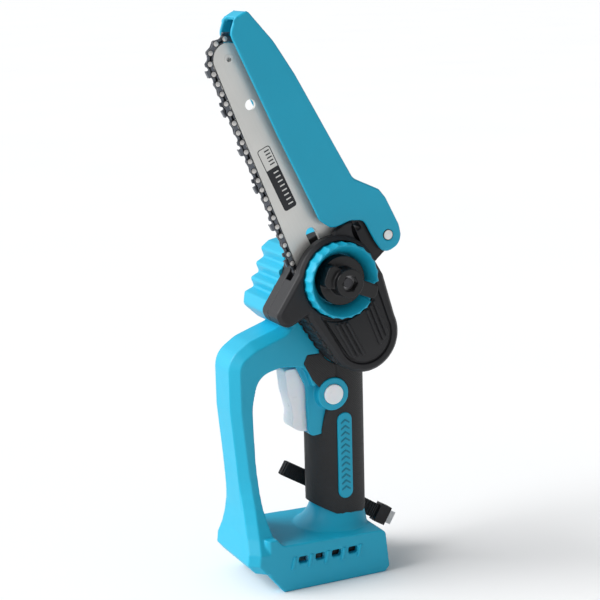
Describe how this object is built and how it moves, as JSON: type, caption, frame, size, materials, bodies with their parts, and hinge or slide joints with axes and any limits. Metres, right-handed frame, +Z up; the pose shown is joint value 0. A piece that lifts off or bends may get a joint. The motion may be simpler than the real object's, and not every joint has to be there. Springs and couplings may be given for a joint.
{
  "type": "pruning chainsaw",
  "caption": "Cordless pruning chainsaw with a flip-up chain guard, hand guard loop, tension ring and slide-on battery foot, standing on the foot.",
  "frame": {"origin": "under the middle of the bounding box, at the height of the surface the foot stands on", "axes": "+Z up the grip, +X from the hand guard to the back of the grip, -Y out of the bar side"},
  "size_m": [0.1448, 0.0904, 0.3665],
  "materials": {
    "teal_plastic": "satin",
    "black_plastic": "satin",
    "grip_rubber": "fine texture",
    "bar_steel": "satin",
    "chain_steel": "dark satin",
    "rivet_steel": "satin",
    "machine_steel": "satin",
    "clear_white": "satin",
    "copper_wire": "satin",
    "contact_brass": "satin",
    "aluminium": "satin",
    "webbing": "ribbed",
    "tag_white": "matte",
    "board_green": "satin",
    "magnet": "satin"
  },
  "bodies": {
    "housing": {"handle_shell_near": "teal_plastic", "handle_shell_far": "teal_plastic", "grip_rubber_near": "grip_rubber", "grip_rubber_far": "grip_rubber", "badge_plate": "teal_plastic", "bumper": "teal_plastic", "shell_screws": "machine_steel", "gear_housing": "black_plastic", "case_screws": "machine_steel", "side_cover": "black_plastic", "cover_panel": "black_plastic", "bar_pad": "machine_steel", "pad_screws": "machine_steel", "bar_stud": "machine_steel", "motor_stator": "machine_steel", "stator_windings": "copper_wire", "motor_bearings": "machine_steel", "gear_bearings": "machine_steel", "guard_pin": "bar_steel", "guard_spring": "machine_steel", "switch_module": "black_plastic", "trigger_spring": "machine_steel", "lock_spring": "machine_steel", "terminal_block": "black_plastic", "battery_terminals": "contact_brass", "controller_board": "board_green", "board_heatsink": "aluminium", "wire_leads": "copper_wire", "strap": "webbing", "strap_adjuster": "black_plastic", "strap_tag": "tag_white"},
    "bar": {"guide_bar": "bar_steel", "bar_follower": "machine_steel", "nose_rivet": "bar_steel", "chain_drive_links": "chain_steel", "chain_tie_straps": "chain_steel", "chain_cutters": "chain_steel", "chain_rivets": "rivet_steel"},
    "nose_wheel": {"nose_sprocket": "machine_steel"},
    "drive": {"drive_sprocket": "machine_steel", "output_shaft": "machine_steel", "sprocket_clip": "machine_steel", "output_gear": "machine_steel"},
    "rotor": {"motor_pinion": "machine_steel", "motor_shaft": "machine_steel", "motor_rotor": "machine_steel", "rotor_magnets": "magnet", "cooling_fan": "black_plastic"},
    "ring": {"tension_ring": "teal_plastic", "tension_cam": "machine_steel"},
    "knob": {"clamp_knob": "black_plastic", "knob_nut": "machine_steel"},
    "guard": {"chain_guard": "teal_plastic"},
    "trigger": {"trigger": "clear_white"},
    "lock": {"lock_button": "clear_white"}
  },
  "joints": [
    {"name": "guard_hinge", "type": "hinge", "parent": "housing", "child": "guard", "pos_m": [0.04436, -0.01825, 0.22561], "axis": [0, 1, 0], "range_deg": [0, 60], "stiffness_Nm_per_rad": 0.04, "springref_deg": -22.92, "deforming": ["guard_spring"]},
    {"name": "trigger_slide", "type": "slide", "parent": "housing", "child": "trigger", "axis": [1, 0, 0], "range_m": [0, 0.006], "stiffness_N_per_m": 500, "springref_m": -0.004, "deforming": ["trigger_spring"]},
    {"name": "lock_slide", "type": "slide", "parent": "housing", "child": "lock", "axis": [0, 1, 0], "range_m": [0, 0.0025], "stiffness_N_per_m": 800, "springref_m": -0.002, "deforming": ["lock_spring"]},
    {"name": "ring_turn", "type": "hinge", "parent": "housing", "child": "ring", "pos_m": [0.00832, -0.03125, 0.20166], "axis": [0, -1, 0], "range_deg": [-210.2, 90.2]},
    {"name": "bar_slide", "type": "slide", "parent": "housing", "child": "bar", "axis": [-0.4242, 0, 0.9056], "range_m": [-0.0035, 0.0015]},
    {"name": "knob_turn", "type": "hinge", "parent": "housing", "child": "knob", "pos_m": [0.00832, -0.03325, 0.20166], "axis": [0, -1, 0], "range_deg": [0, 360]},
    {"name": "drive_spin", "type": "hinge", "parent": "housing", "child": "drive", "pos_m": [0.02601, -0.01825, 0.1639], "axis": [0, -1, 0], "continuous": true, "deforming": ["chain_drive_links", "chain_tie_straps", "chain_cutters", "chain_rivets"]},
    {"name": "rotor_spin", "type": "hinge", "parent": "housing", "child": "rotor", "pos_m": [0.01774, 0.01175, 0.18156], "axis": [0, -1, 0], "continuous": true},
    {"name": "nose_spin", "type": "hinge", "parent": "bar", "child": "nose_wheel", "pos_m": [-0.05595, -0.01825, 0.33886], "axis": [0, -1, 0], "continuous": true}
  ],
  "couplings": [
    {"joint": "ring_turn", "follows": "bar_slide", "rad_per_m": 1047.2},
    {"joint": "rotor_spin", "follows": "drive_spin", "ratio": -3.3333},
    {"joint": "nose_spin", "follows": "drive_spin", "ratio": 1.1667}
  ]
}
